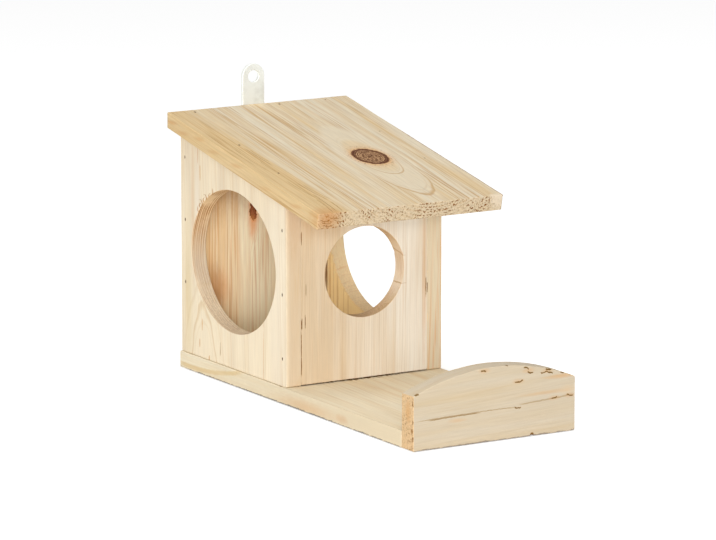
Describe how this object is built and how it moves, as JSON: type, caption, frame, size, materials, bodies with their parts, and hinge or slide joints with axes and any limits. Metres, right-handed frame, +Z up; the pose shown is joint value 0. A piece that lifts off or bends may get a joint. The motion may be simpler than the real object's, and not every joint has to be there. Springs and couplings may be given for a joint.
{
  "type": "squirrel feeder box",
  "caption": "Open wooden squirrel feeder: a box with round and oval feeding holes under a sloping roof, with a long tray in front and a metal hanging plate at the back.",
  "frame": {"origin": "middle of the whole feeder's outline seen from above, on the surface that it stands on", "axes": "+Z up; -Y towards the end of the tray; +Y towards the back wall and the hanging plate; +X to the right for a viewer who looks at the tray's end along +Y"},
  "size_m": [0.12, 0.2606, 0.1737],
  "materials": {
    "base_wood": "planed, left untreated",
    "end_board_wood": "planed, left untreated",
    "side_wood": "planed, left untreated",
    "cross_wall_wood": "planed, left untreated",
    "roof_wood": "planed, left untreated",
    "zinc_plate": "bright zinc plated",
    "nail_steel": "plain steel, slightly dull"
  },
  "bodies": {
    "root": {"base_board": "base_wood", "end_board": "end_board_wood", "left_side_panel": "side_wood", "right_side_panel": "side_wood", "front_panel": "cross_wall_wood", "back_panel": "cross_wall_wood", "roof_board": "roof_wood", "hanger_plate": "zinc_plate", "hanger_screw_lower": "zinc_plate", "hanger_screw_upper": "zinc_plate", "roof_nail_1": "nail_steel", "roof_nail_2": "nail_steel", "roof_nail_3": "nail_steel", "roof_nail_4": "nail_steel", "roof_nail_5": "nail_steel", "roof_nail_6": "nail_steel", "roof_nail_7": "nail_steel", "left_front_nail_1": "nail_steel", "left_front_nail_2": "nail_steel", "left_front_nail_3": "nail_steel", "left_back_nail_1": "nail_steel", "left_back_nail_2": "nail_steel", "left_back_nail_3": "nail_steel", "right_front_nail_1": "nail_steel", "right_front_nail_2": "nail_steel", "right_front_nail_3": "nail_steel", "right_back_nail_1": "nail_steel", "right_back_nail_2": "nail_steel", "right_back_nail_3": "nail_steel", "base_nail_1": "nail_steel", "base_nail_2": "nail_steel", "base_nail_3": "nail_steel", "base_nail_4": "nail_steel", "base_nail_5": "nail_steel", "base_nail_6": "nail_steel", "base_nail_7": "nail_steel", "base_nail_8": "nail_steel", "base_nail_9": "nail_steel", "base_nail_10": "nail_steel"}
  },
  "joints": []
}
